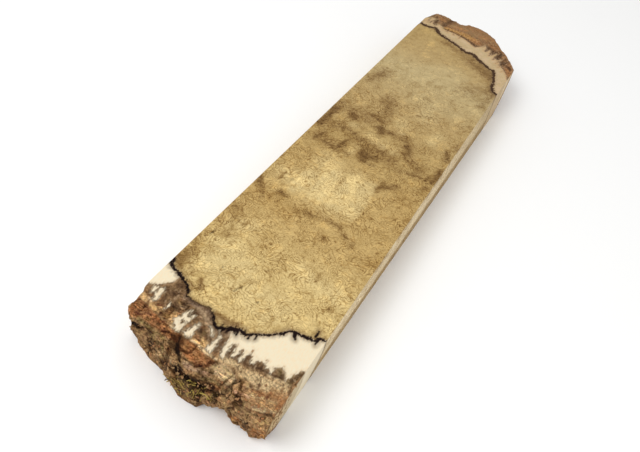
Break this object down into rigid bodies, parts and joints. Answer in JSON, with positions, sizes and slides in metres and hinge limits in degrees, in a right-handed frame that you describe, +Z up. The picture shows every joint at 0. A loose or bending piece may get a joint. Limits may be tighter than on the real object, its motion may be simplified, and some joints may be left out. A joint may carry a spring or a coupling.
{
  "type": "black locust burl wood block",
  "caption": "Long flat board sawn right across a black locust burl, with smooth figured faces, straight sawn sides and rough live bark left on both short ends.",
  "frame": {"origin": "middle of the block's box, on the lower sawn face that it rests on", "axes": "+X across the width, +Y along the length towards the end whose outline is round, +Z up through the thickness"},
  "size_m": [0.0742, 0.3332, 0.022],
  "materials": {
    "burl_wood": "sawn and sanded burl, satin, with rough bark ends",
    "moss": "dry moss strands in the bark of one end"
  },
  "bodies": {
    "root": {"burl_block": "burl_wood"}
  },
  "joints": []
}
